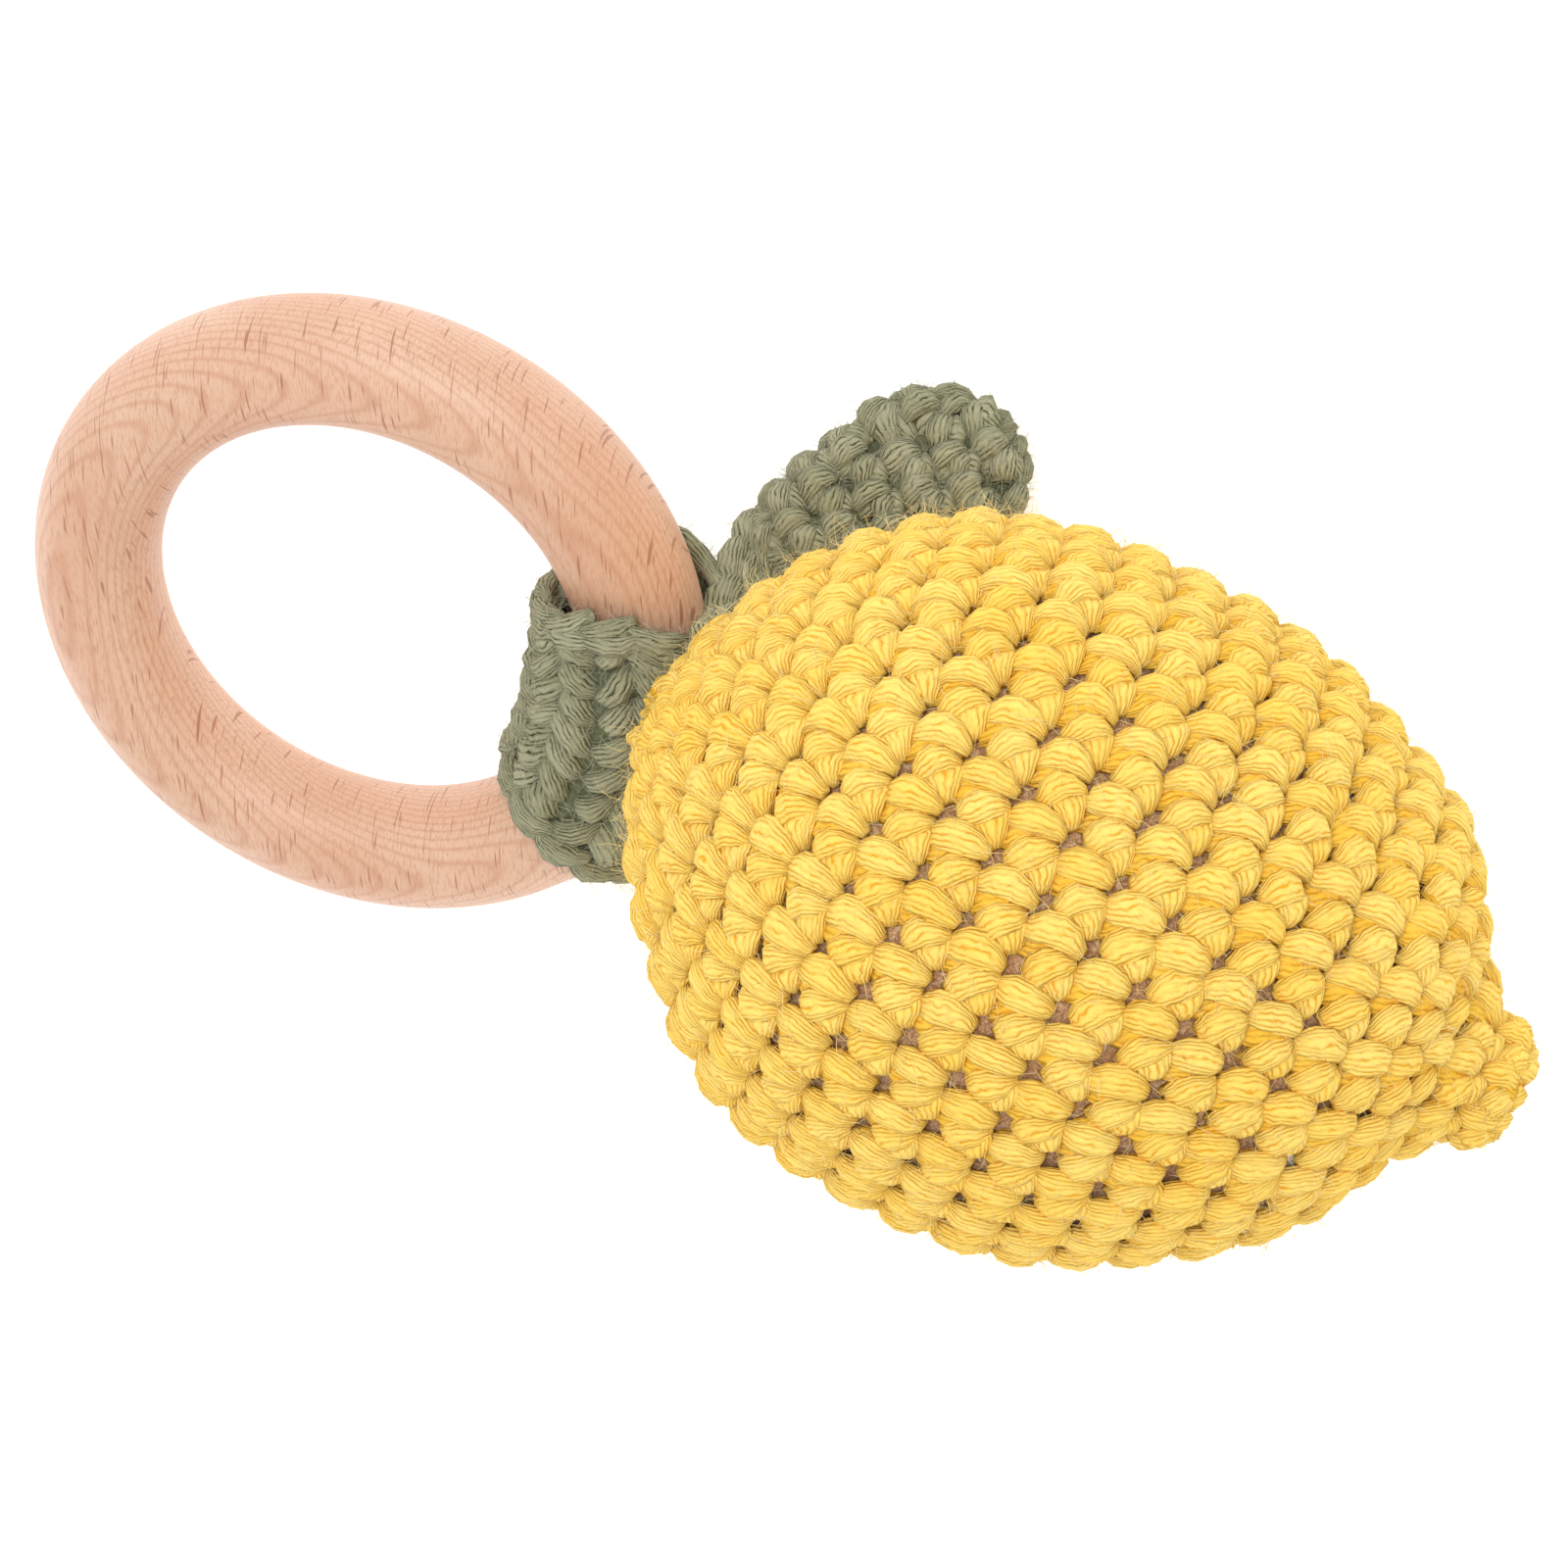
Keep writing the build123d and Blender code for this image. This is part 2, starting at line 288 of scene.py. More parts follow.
def beech():
    finish = Finish("beech")
    level = finish.stretched(finish.here(), (1, 1, 1), (-math.asin(RING_AXIS.y), 0, 0))
    board = finish.stretched(level, (1, 1, 1), (0, 0, GRAIN_TURN))
    fleck = finish.noise(finish.stretched(board, (0.00022, 0.0036, 0.004)), 1.0, 0.0)
    flecks = fleck.between(0.69, 0.78)
    pores = finish.noise(finish.stretched(board, (0.00016, 0.0012, 0.0004)), 1.0, 2.0, 0.6)
    sway = finish.noise(finish.stretched(board, (0.03, 0.05, 0.03)), 1.0, 1.0)
    across, lengthwise, deep = finish.parts(board)
    years = deep * 1500.0 + across * across * 2600.0 + lengthwise * 30.0 + sway * 9.0
    zone = (years * 0.7).sine() * 0.5 + 0.5
    year = (years * (2 * math.pi)).sine() * 0.5 + 0.5
    cloud = finish.noise(finish.stretched(board, (0.02, 0.05, 0.02)), 1.0, 2.0)
    tone = finish.mix(cloud.between(0.3, 0.7), colour(209, 166, 137), colour(219, 182, 157))
    tone = finish.mix(zone * 0.35, tone, colour(213, 163, 135))
    lined = finish.mix(year.power(4.0) * 0.42, tone, colour(188, 130, 98))
    pored = finish.mix((1 - pores.between(0.34, 0.54)) * 0.55, lined, colour(190, 138, 106))
    flecked = finish.mix(flecks * 0.75, pored, colour(158, 98, 68))
    height = pores * 0.6 - flecks * 0.5
    return finish.done(
        Base_Color=flecked,
        Roughness=pores * 0.2 + 0.36,
        Normal=finish.bump(height, 0.22, 0.0002),
        Specular_IOR_Level=0.4,
        Coat_Weight=0.12,
        Coat_Roughness=0.35,
    )


beech_wood = beech()

# %% [markdown]
# Inside are a tan cotton lining, white fibre wads, and a plastic capsule with beads. They show little or
# not at all, but each has its own finish for anyone who opens the model.

# %% Lining, filling and plastics
def lining_cloth():
    finish = Finish("lining_cloth")
    here = finish.here()
    threads = finish.noise(here, 2200.0, 3.0, 0.7, 0.8)
    patches = finish.noise(here, 120.0, 2.0)
    tone = finish.mix(patches.between(0.35, 0.65), colour(232, 186, 140), colour(244, 206, 160))
    worn = finish.mix(threads.between(0.42, 0.62), colour(184, 132, 88), tone)
    return finish.done(
        Base_Color=worn,
        Roughness=threads * 0.2 + 0.75,
        Normal=finish.bump(threads, 0.8, 0.0004),
        Sheen_Weight=0.2,
    )


def fibre_filling():
    finish = Finish("fibre_filling")
    here = finish.here()
    curls = finish.noise(here, 900.0, 4.0, 0.7, 2.0)
    tone = finish.mix(curls.between(0.35, 0.65), colour(214, 210, 200), colour(245, 243, 238))
    normal = finish.bump(curls, 0.9, 0.0006)
    return finish.done(Base_Color=tone, Roughness=curls * 0.2 + 0.75, Normal=normal)


def moulded_plastic(name, low, high, grain):
    finish = Finish(name)
    here = finish.here()
    flow = finish.noise(here, 90.0, 3.0, 0.5, 1.5)
    skin = finish.noise(here, grain, 2.0)
    tone = finish.mix(flow.between(0.3, 0.7), low, high)
    normal = finish.bump(skin, 0.15, 0.0001)
    return finish.done(Base_Color=tone, Roughness=skin * 0.15 + 0.28, Normal=normal)


def shaded_felted_back(name, tone, deep):
    """The back of the crochet, seen only deep between the stitches, in darker colours that are painted
    shade.
    """
    finish = Finish(name)
    loops = finish.noise(finish.here(), 700.0, 4.0, 0.7, 1.0)
    mixed = finish.mix(loops.between(0.35, 0.65), deep, tone)
    return finish.done(Base_Color=mixed, Roughness=0.9, Normal=finish.bump(loops, 0.8, 0.0004))


lining = lining_cloth()
# The back of the band and the leaf's inside take a darker sage: painted shade, as they are seen only deep
# between stitches.
sage_shadow = shaded_felted_back("sage_back", colour(112, 116, 86), colour(82, 86, 60))
filling = fibre_filling()
capsule_plastic = moulded_plastic("capsule_plastic", colour(222, 226, 228), colour(238, 240, 240), 1500.0)
bead_plastic = moulded_plastic("bead_plastic", colour(196, 62, 44), colour(214, 84, 60), 2500.0)

# %% [markdown]
# A skin is a CAD surface that stitches are laid on. For a part with an axis, a ray shot from outside
# towards that axis finds the surface at any place along it and any angle round it. Distances along the
# skin are measured on the surface itself, because stitches keep their size however steep it is.

# %% Skins
SHOT = 0.2  # how far outside a ray starts, in metres


def surface_tree(node):
    mesh = frame["nodes"][node].data
    points = [vertex.co.copy() for vertex in mesh.vertices]
    faces = [tuple(face.vertices) for face in mesh.polygons]
    return BVHTree.FromPolygons(points, faces)


class Skin:
    def __init__(self, node, start, end, top, samples=240):
        self.tree = surface_tree(node)
        self.start = start
        self.axis = (end - start).normalized()
        self.length = (end - start).length
        self.top = (top - top.project(self.axis)).normalized()
        self.side = self.axis.cross(self.top)
        steps = np.linspace(0.002, 0.998, samples) * self.length
        width = []
        for step in steps:
            width.append(sum(self.cast(step, angle)[2] for angle in (0.0, 1.57, -1.57)) / 3)
        run = np.hypot(np.diff(steps), np.diff(width))
        self.steps = steps
        self.width = np.array(width)
        self.arc = np.concatenate([[width[0]], width[0] + np.cumsum(run)])
        self.total = self.arc[-1] + width[-1]

    def cast(self, step, angle):
        away = math.cos(angle) * self.top + math.sin(angle) * self.side
        base = self.start + self.axis * step
        hit, normal, _, far = self.tree.ray_cast(base + away * SHOT, -away)
        if hit is None:
            return base, away, 0.0
        return hit, normal, SHOT - far

    def radius(self, arc):
        return float(np.interp(arc, self.arc, self.width))

    def point(self, arc, angle):
        step = float(np.interp(arc, self.arc, self.steps))
        hit, normal, _ = self.cast(step, angle)
        return hit, normal


# %% [markdown]
# One strand of a stitch is a short spindle of plies: wide where it leaves the fabric, thin where it dives
# into the hole, and arched between. Its cross-section has lobes that wind a little along it. It is made
# once at unit size, in a few variants, so that hundreds of copies stay light.

# %% Strand shapes
STRAND_SIDES = 16
LEG_SHAPES, FAN_SHAPES = range(0, 4), range(4, 6)
LEG = [  # along, half width, half thickness, rise
    (0.04, 0.34, 0.28, -0.36),
    (0.22, 0.49, 0.44, -0.06),
    (0.48, 0.50, 0.50, 0.06),
    (0.76, 0.40, 0.43, -0.02),
    (0.95, 0.22, 0.26, -0.36),
]
FAN = [
    (0.03, 0.44, 0.28, -0.26),
    (0.22, 0.50, 0.42, -0.02),
    (0.48, 0.42, 0.48, 0.05),
    (0.74, 0.30, 0.42, -0.04),
    (0.95, 0.18, 0.26, -0.36),
]


def smooth_mesh(name, points, faces):
    mesh = bpy.data.meshes.new(name)
    mesh.from_pydata(points, [], faces)
    mesh.shade_smooth()
    return mesh


def rounded_box(angle, squareness=0.78):
    """A point on a circle that is pressed a little towards a square."""
    x, y = math.cos(angle), math.sin(angle)
    return math.copysign(abs(x) ** squareness, x), math.copysign(abs(y) ** squareness, y)


def strand_shape(name, profile, seed, bow, lobe=0.10, wind=0.55):
    rng = random.Random(seed)
    lobes = [1.0 - lobe * (k % 2) * rng.uniform(0.6, 1.4) for k in range(STRAND_SIDES)]
    points = [(-0.5, 0.0, profile[0][3] - 0.1)]
    for along, wide, thick, rise in profile:
        for k in range(STRAND_SIDES):
            angle = 2 * math.pi * (k + wind * along * 2) / STRAND_SIDES
            reach = lobes[k] * rng.uniform(0.97, 1.03)
            x, z = rounded_box(angle)
            y = wide * x * reach + bow * (4 * along * (1 - along) - 0.6)
            z = thick * z * reach + rise
            points.append((along - 0.5, y, z))
    points.append((0.5, 0.0, profile[-1][3] - 0.1))
    faces = []
    turns = []
    last = len(points) - 1
    for k in range(STRAND_SIDES):
        n = (k + 1) % STRAND_SIDES
        faces.append((0, 1 + n, 1 + k))
        turns.append(((0.0, k + 0.5), (0.05, k + 1), (0.05, k)))
        for row in range(len(profile) - 1):
            low = 1 + row * STRAND_SIDES
            high = low + STRAND_SIDES
            faces.append((low + k, low + n, high + n, high + k))
            start, stop = profile[row][0], profile[row + 1][0]
            turns.append(((start, k), (start, k + 1), (stop, k + 1), (stop, k)))
        base = 1 + (len(profile) - 1) * STRAND_SIDES
        faces.append((base + k, base + n, last))
        turns.append(((0.95, k), (0.95, k + 1), (1.0, k + 0.5)))
    mesh = smooth_mesh(name, points, faces)
    ply_map = mesh.uv_layers.new(name="ply_map")
    corners = [corner for face in turns for corner in face]
    for loop, (u, v) in zip(ply_map.data, corners):
        loop.uv = (u, v / STRAND_SIDES)
    return bpy.data.objects.new(name, mesh)


strand_shapes = bpy.data.collections.new("strand_shapes")
for variant in LEG_SHAPES:
    strand_shapes.objects.link(strand_shape(f"strand_{variant}_leg", LEG, variant, 0.16 + 0.06 * variant))
for variant in FAN_SHAPES:
    strand_shapes.objects.link(strand_shape(f"strand_{variant}_fan", FAN, variant, 0.0))

# %% [markdown]
# Crochet can be modelled as one long curve, but a stitch seen from outside is only a few strands: two legs
# that meet in a V, a fan beside them, and two bars below. So each skin gets a chart of strands, one point
# for each, with its direction, its outward direction and its size as attributes. Geometry Nodes then
# puts a strand shape on every point, turned and scaled by those attributes. This keeps each stitch
# adjustable and the mesh small.

# %% Strand charts
class Chart:
    def __init__(self, seed):
        self.rng = random.Random(seed)
        self.rows = []

    def strand(self, start, end, out, width, thick, sink, fan=False, jitter=0.05):
        shake = self.rng.uniform
        along = end - start
        length = along.length * (1 + shake(-jitter, jitter))
        along = along.normalized()
        out = (out - out.project(along)).normalized()
        side = out.cross(along)
        along = (along + side * shake(-jitter, jitter) + out * shake(-jitter, jitter) * 0.6).normalized()
        out = (out - out.project(along)).normalized()
        centre = (start + end) / 2 - out * sink * (1 + shake(-jitter, jitter) * 2)
        size = (length, width * (1 + shake(-1.6, 1.6) * jitter), thick * (1 + shake(-1, 1) * jitter))
        variant = self.rng.choice(FAN_SHAPES if fan else LEG_SHAPES)
        self.rows.append((centre, along, out, size, variant, self.rng.random()))


def new_tree(name, inputs):
    """A Geometry Nodes tree with named inputs and one Geometry output."""
    tree = bpy.data.node_groups.new(name, "GeometryNodeTree")
    for socket, kind in inputs.items():
        tree.interface.new_socket(socket, in_out="INPUT", socket_type="NodeSocket" + kind)
    tree.interface.new_socket("Geometry", in_out="OUTPUT", socket_type="NodeSocketGeometry")
    return tree, tree.nodes.new("NodeGroupInput").outputs


def end_tree(tree, copies, material):
    """Realize Instances, then Set Material, then the tree's output."""
    add, link = tree.nodes.new, tree.links.new
    real = add("GeometryNodeRealizeInstances")
    link(copies.outputs[0], real.inputs[0])
    dressed = add("GeometryNodeSetMaterial")
    link(real.outputs[0], dressed.inputs["Geometry"])
    link(material, dressed.inputs["Material"])
    link(dressed.outputs[0], add("NodeGroupOutput").inputs[0])


def named(tree, name, kind):
    node = tree.nodes.new("GeometryNodeInputNamedAttribute")
    node.data_type = kind
    node.inputs["Name"].default_value = name
    return node.outputs["Attribute"]


def strand_layer():
    """Geometry Nodes: a strand shape on every chart point, as one real mesh."""
    inputs = {"Geometry": "Geometry", "Strand shapes": "Collection", "Yarn": "Material"}
    tree, given = new_tree("lay_strands", inputs)
    add, link = tree.nodes.new, tree.links.new
    shapes = add("GeometryNodeCollectionInfo")
    shapes.inputs["Separate Children"].default_value = True
    shapes.inputs["Reset Children"].default_value = True
    link(given["Strand shapes"], shapes.inputs["Collection"])
    turned = add("FunctionNodeAxesToRotation")
    turned.primary_axis, turned.secondary_axis = "X", "Z"
    link(named(tree, "along", "FLOAT_VECTOR"), turned.inputs[0])
    link(named(tree, "out", "FLOAT_VECTOR"), turned.inputs[1])
    copies = add("GeometryNodeInstanceOnPoints")
    copies.inputs["Pick Instance"].default_value = True
    link(given["Geometry"], copies.inputs["Points"])
    link(shapes.outputs[0], copies.inputs["Instance"])
    link(named(tree, "variant", "INT"), copies.inputs["Instance Index"])
    link(turned.outputs[0], copies.inputs["Rotation"])
    link(named(tree, "size", "FLOAT_VECTOR"), copies.inputs["Scale"])
    end_tree(tree, copies, given["Yarn"])
    return tree


def set_inputs(modifier, **values):
    for item in modifier.node_group.interface.items_tree:
        key = item.name.replace(" ", "_")
        if item.item_type == "SOCKET" and item.in_out == "INPUT" and key in values:
            modifier[item.identifier] = values[key]


def placed(name, data):
    """A mesh or a lamp as an object in the scene."""
    piece = bpy.data.objects.new(name, data)
    bpy.context.collection.objects.link(piece)
    return piece


def triangles(piece):
    return sum(len(face.vertices) - 2 for face in piece.data.polygons)


def settle(name, source):
    """The evaluated source as a plain mesh object of its own."""
    bpy.context.view_layer.update()
    depsgraph = bpy.context.evaluated_depsgraph_get()
    mesh = bpy.data.meshes.new_from_object(source.evaluated_get(depsgraph))
    mesh.name = name
    return placed(name, mesh)


lay_strands = strand_layer()


def lay(name, chart, material):
    """The chart's strands as one piece."""
    points = bpy.data.meshes.new(name + "_chart")
    points.from_pydata([row[0] for row in chart.rows], [], [])
    for column, attribute, kind in ((1, "along", "FLOAT_VECTOR"), (2, "out", "FLOAT_VECTOR"),
                                    (3, "size", "FLOAT_VECTOR"), (4, "variant", "INT"),
                                    (5, "shade", "FLOAT")):
        layer = points.attributes.new(attribute, kind, "POINT")
        values = np.array([row[column] for row in chart.rows], float).ravel()
        layer.data.foreach_set("vector" if kind == "FLOAT_VECTOR" else "value",
                               values.astype(int) if kind == "INT" else values)
    source = placed(name + "_chart", points)
    modifier = source.modifiers.new("strands", "NODES")
    modifier.node_group = lay_strands
    set_inputs(modifier, Strand_shapes=strand_shapes, Yarn=material)
    piece = settle(name, source)
    bpy.data.objects.remove(source)
    print(name, len(chart.rows), "strands,", triangles(piece), "tris")
    return piece


# %% [markdown]
# The lemon is worked in rounds from the crown to the tip. All its stitches keep one size, so a round has
# as many as fit: few at the crown, about thirty at the belly, few again at the tip. Each round starts
# about a quarter of a stitch further on, which turns the columns of holes into slow spirals. Both ends
# are drawn a little to one side, so the whole skin is bent before the strands are laid.

# %% Lemon stitches
ROUND = 5.7 * MM
STITCH = 6.6 * MM
FIRST_ROUND = 1.9 * MM
ROUNDS = 23
LEAN = math.radians(3.4)
BELLY_ROUND, BELLY_TURN = 11, math.radians(-10)
EDGE = 0.4 * MM  # how near a strand may come to either end of a skin
SHORTEST = 0.8 * MM
STITCH_STRANDS = (  # below, start and end in rounds and stitches, then mm: width, thickness, depth; fan
    (True, (-1.14, 0.16), (-0.25, 0.06), 4.6, 1.9, 1.6, False),
    (True, (-0.74, -0.62), (-0.25, -0.33), 4.3, 1.8, 1.8, False),
    (False, (-0.46, -0.66), (-0.14, -0.16), 4.1, 2.0, 1.5, True),
    (False, (-0.88, 0.64), (-0.18, 0.15), 3.3, 2.2, 1.0, False),
    (False, (-1.16, -0.03), (-0.13, -0.06), 3.4, 2.2, 0.95, False),
)


def bent(point):
    """The lemon's middle line, drawn a little to one side near both ends."""
    share = [-0.02, 0.08, 0.25, 0.52, 0.70, 0.85, 0.95, 1.0]
    drawn = [0.4, 0.6, 0.0, 0.0, 0.9, 2.2, 2.1, 2.0]
    along = (point.x - CROWN_X) / (TIP_X - CROWN_X)
    slim = float(np.interp(along, [0.6, 0.75, 0.89, 0.95, 1.0], [1.0, 0.985, 0.98, 0.78, 0.62]))
    middle = Vector((point.x - max(0.0, along - 0.9) * 8 * MM, LEMON_AXIS_Y, LEMON_AXIS_Z))
    across = Vector((0, point.y - LEMON_AXIS_Y, point.z - LEMON_AXIS_Z))
    return middle + across * slim + across_lemon * float(np.interp(along, share, drawn)) * MM


lemon_skin = Skin("lemon_cover", Vector((CROWN_X, LEMON_AXIS_Y, LEMON_AXIS_Z)),
                  Vector((TIP_X, LEMON_AXIS_Y, LEMON_AXIS_Z)), Vector((0, 0, 1)))
print("lemon skin from crown to tip, mm:", round(lemon_skin.total / MM, 1))


def stitch(chart, under, skin, arc, angle, round_height, stitches, shape=bent, size=1.0):
    """One V stitch whose two legs meet at arc and angle; it opens back along the skin."""
    pitch = 2 * math.pi / stitches
    fit = min(1.15, pitch * skin.radius(arc) / (STITCH * size))

    def spot(rounds, turns):
        place = max(EDGE, min(skin.total - EDGE, arc + rounds * round_height))
        hit, normal = skin.point(place, angle + turns * pitch)
        return shape(hit), normal

    for below, start, end, width, thick, sink, fan in STITCH_STRANDS:
        (first, out_1), (second, out_2) = spot(*start), spot(*end)
        if (second - first).length > SHORTEST:
            layer = under if below else chart
            out = (out_1 + out_2).normalized()
            width, thick, sink = (v * size * MM for v in (width * fit, thick, sink))
            layer.strand(first, second, out, width, thick, sink, fan, jitter=0.065)


crown_chart, tip_chart, under_chart = Chart(11), Chart(12), Chart(13)
for number in range(ROUNDS):
    arc = FIRST_ROUND + number * ROUND
    stitches = max(5, round(2 * math.pi * lemon_skin.radius(arc) / STITCH))
    turn = BELLY_TURN + LEAN * (number - BELLY_ROUND)
    chart = crown_chart if number < BELLY_ROUND else tip_chart
    for k in range(stitches):
        stitch(chart, under_chart, lemon_skin, arc, turn + k * 2 * math.pi / stitches, ROUND, stitches)

lemon_crown_half = lay("lemon_crown_half", crown_chart, yellow_yarn)
lemon_tip_half = lay("lemon_tip_half", tip_chart, yellow_yarn)
# The strands below are laid in the painted shade of the darker yellow copy.
lemon_under = lay("lemon_under", under_chart, yellow_depth)

# %% [markdown]
# Both ends finish in a small closing loop of yarn, a ring of short strands laid nose to tail.

# %% Closing loops
def closing_loop(name, node, links):
    low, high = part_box(node)
    radius = (high.y - low.y) / 2 - 0.8 * MM
    middle_x = (low.x + high.x) / 2
    away = Vector((math.copysign(1, middle_x - (CROWN_X + TIP_X) / 2), 0, 0))
    chart = Chart(61)

    def spot(k):
        angle = 2 * math.pi * k / links
        y, z = LEMON_AXIS_Y + radius * math.cos(angle), LEMON_AXIS_Z + radius * math.sin(angle)
        return bent(Vector((middle_x, y, z)))

    for k in range(links):
        chart.strand(spot(k), spot(k + 1.35), away, 1.9 * MM, 1.6 * MM, 0.0, jitter=0.08)
    return lay(name, chart, yellow_yarn)


crown_loop = closing_loop("crown_loop", "crown_closing_yarn", 8)
tip_loop = closing_loop("tip_loop", "tip_starting_loop", 6)

# %% [markdown]
# The lining bag shows through the holes. It is stuffed tight, so its skin is blown up with a short cloth
# simulation: pressure inside, no gravity, twenty steps. So small a bag needs far more pressure than a
# cushion, and it still swells by only a fraction of a millimetre. The cap on how far a point may move
# keeps the bag behind the stitches. One subdivision then smooths it.

# %% Lining bag
LINING_DEPTH = 2.9 * MM  # how far the bag lies below the CAD cover
LINING_VOXEL, LINING_PRESSURE, LINING_CAP = 2.5 * MM, 900.0, 1.0 * MM
SWELL_STEPS = 20


def mesh_points(mesh):
    flat = np.empty(len(mesh.vertices) * 3)
    mesh.vertices.foreach_get("co", flat)
    return flat.reshape(-1, 3)


def even_mesh(name, source, voxel):
    """The source remeshed into even quads."""
    remesh = source.modifiers.new("remesh", "REMESH")
    remesh.mode = "VOXEL"
    remesh.voxel_size = voxel
    even = settle(name, source)
    bpy.data.objects.remove(source)
    return even


def swollen(pad, pressure, cap):
    """Where the pad's points are after the simulation, none further than cap from its start."""
    cloth = pad.modifiers.new("cloth", "CLOTH")
    cloth.settings.use_pressure = True
    cloth.settings.uniform_pressure_force = pressure
    cloth.settings.effector_weights.gravity = 0.0
    for step in range(1, SWELL_STEPS + 1):
        bpy.context.scene.frame_set(step)
    start = mesh_points(pad.data)
    depsgraph = bpy.context.evaluated_depsgraph_get()
    moved = mesh_points(pad.evaluated_get(depsgraph).data) - start
    pad.modifiers.remove(cloth)
    bpy.context.scene.frame_set(1)
    far = np.linalg.norm(moved, axis=1, keepdims=True)
    print(pad.name, "swells by", round(float(far.mean()) / MM, 2), "mm, capped at", round(cap / MM, 2))
    return start + moved * np.minimum(1.0, cap / np.maximum(far, 1e-9))


def dress(mesh, finish):
    mesh.materials.clear()
    mesh.materials.append(finish)


def stuffed(name, source, voxel, pressure, cap, finish):
    """A stuffed bag or leaf: remeshed, swollen, subdivided once."""
    pad = even_mesh(name + "_pad", source, voxel)
    pad.data.vertices.foreach_set("co", swollen(pad, pressure, cap).ravel())
    pad.data.update()
    smooth = pad.modifiers.new("smooth", "SUBSURF")
    smooth.levels = smooth.render_levels = 1
    made = settle(name, pad)
    bpy.data.objects.remove(pad)
    made.data.shade_smooth()
    dress(made.data, finish)
    return made


def lathe(name, skin, depth, shape, around=96, along=90):
    """A closed form that lies depth below a skin."""
    points = []
    for row in range(1, along):
        arc = skin.total * row / along
        for k in range(around):
            hit, normal = skin.point(arc, 2 * math.pi * k / around)
            points.append(shape(hit - normal * depth))
    faces = []
    for row in range(along - 2):
        for k in range(around):
            n = (k + 1) % around
            low, high = row * around, (row + 1) * around
            faces.append((low + k, low + n, high + n, high + k))
    faces.append(tuple(range(around))[::-1])
    faces.append(tuple((along - 2) * around + k for k in range(around)))
    return placed(name, smooth_mesh(name, points, faces))


lining_form = lathe("lining_form", lemon_skin, LINING_DEPTH, bent)
lining_skin = stuffed("lining_skin", lining_form, LINING_VOXEL, LINING_PRESSURE, LINING_CAP, lining)

# %% [markdown]
# The two wads of filling are loose fibre. Each starts from its CAD solid, is remeshed, and is picked in
# at random with fractal noise, which leaves tufts. They only move inwards, so they stay off the capsule.

# %% Filling
def tufted(name, node, voxel, depth, finish):
    source = placed(name + "_solid", frame["nodes"][node].data.copy())
    wad = even_mesh(name, source, voxel)
    for vertex, normal in zip(wad.data.vertices, [v.normal.copy() for v in wad.data.vertices]):
        rough = noise.fractal(vertex.co * 350.0, 0.6, 2.0, 4)
        vertex.co -= normal * depth * min(1.0, max(0.0, 0.5 + rough))
    wad.data.shade_smooth()
    dress(wad.data, finish)
    return wad


crown_filling = tufted("crown_filling", "crown_wad", 1.2 * MM, 1.4 * MM, filling)
tip_filling = tufted("tip_filling", "tip_wad", 1.2 * MM, 1.4 * MM, filling)
print("filling tris:", triangles(crown_filling))

# %% [markdown]
# The beech ring was turned on a lathe and sanded, so it is a plain torus. Its points are worked out here,
# and not spun, because the band's stitches are laid on the same circle.

# %% Beech ring
def ring_point(turn, around, radius):
    """A point on a tube round the ring's circle; turn starts at the grip, around at the outer side."""
    spoke = math.cos(turn) * Vector((1, 0, 0)) + math.sin(turn) * RING_SIDE
    away = math.cos(around) * spoke + math.sin(around) * RING_AXIS
    return RING_CENTRE + spoke * RING_R + away * radius, away


def torus(name, radius, turns=180, sides=48):
    points = []
    for t in range(turns):
        for s in range(sides):
            points.append(ring_point(2 * math.pi * t / turns, 2 * math.pi * s / sides, radius)[0])
    faces = []
    for t in range(turns):
        for s in range(sides):
            a, b = t * sides, ((t + 1) % turns) * sides
            faces.append((a + s, b + s, b + (s + 1) % sides, a + (s + 1) % sides))
    return placed(name, smooth_mesh(name, points, faces))


beech_ring = torus("beech_ring", TUBE_R)
beech_ring.data.materials.append(beech_wood)

# %% [markdown]
# The band is a short sleeve of V stitches round the ring, closed at both openings by a chain edge.

# %% Band stitches
BAND_R = 9.9 * MM
BAND_FROM, BAND_TO = math.radians(-19), math.radians(34.5)
BAND_COLUMNS = 7
BAND_ROW = 3.9 * MM
BAND_DIP = 0.27  # how much lower the upper opening is on the lemon's side, in radians of the ring
LEG_TOP, LEG_FOOT = 4.3 * MM, 0.2 * MM
TOP_SPREAD, FOOT_SPREAD = 0.98, 0.08
RIM_LINKS = 12
RIM_R = BAND_R - 0.2 * MM
BAND_MIDDLE, BAND_HALF = (BAND_TO + BAND_FROM) / 2, (BAND_TO - BAND_FROM) / 2


def band_point(turn, around, radius):
    """On the band: straight across the ring's inner side, with its upper opening cut lower by the lemon."""
    inner = max(0.0, -math.cos(around))
    outer = max(0.0, math.cos(around)) ** 2
    off_middle = max(-BAND_HALF, min(BAND_HALF, turn - BAND_MIDDLE))
    slack = (RING_R - BAND_R) * (1 - math.cos(BAND_HALF) / math.cos(off_middle))
    share = (turn - BAND_FROM) / (BAND_TO - BAND_FROM)
    return ring_point(turn - BAND_DIP * outer * share, around, radius + inner * slack)


